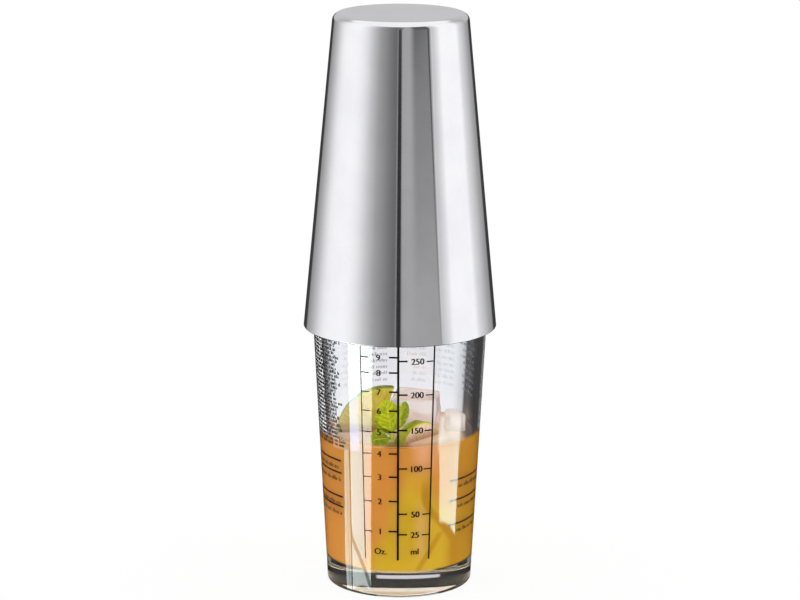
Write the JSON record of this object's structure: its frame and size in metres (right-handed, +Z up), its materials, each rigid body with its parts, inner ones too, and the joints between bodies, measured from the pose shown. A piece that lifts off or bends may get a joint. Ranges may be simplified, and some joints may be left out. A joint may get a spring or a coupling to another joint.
{
  "type": "boston shaker",
  "caption": "Boston cocktail shaker: a tapered mixing glass with a printed volume scale and an iced drink inside, closed by a polished steel tin that lifts off.",
  "frame": {"origin": "centre of the glass's foot ring, on the surface that the shaker stands on", "axes": "+Z up along the common axis of glass and tin; -Y is the front, where the scale is printed; +X is to the right seen from the front"},
  "size_m": [0.0812, 0.0812, 0.2433],
  "materials": {
    "clear_glass": "clear, polished",
    "polished_steel": "polished stainless steel",
    "drink": "clear orange liquid, yellower towards the bottom",
    "ice": "wet clear ice",
    "lime": "wet lime flesh in a green rind",
    "mint_stem": "satin green stalk",
    "mint_leaf": "veined green leaf",
    "scale_print": "black fired print"
  },
  "bodies": {
    "filled_glass": {"mixing_glass": "clear_glass", "drink": "drink", "ice_cube_large": "ice", "ice_cube_small": "ice", "lime_half_slice": "lime", "lime_wheel": "lime", "mint_stem": "mint_stem", "mint_leaf_1": "mint_leaf", "mint_leaf_2": "mint_leaf", "mint_leaf_3": "mint_leaf", "mint_leaf_4": "mint_leaf"},
    "tin": {"shaker_tin": "polished_steel"}
  },
  "joints": [
    {"name": "tin_lift", "type": "slide", "parent": "filled_glass", "child": "tin", "axis": [0, 0, 1], "range_m": [0, 0.1]}
  ]
}
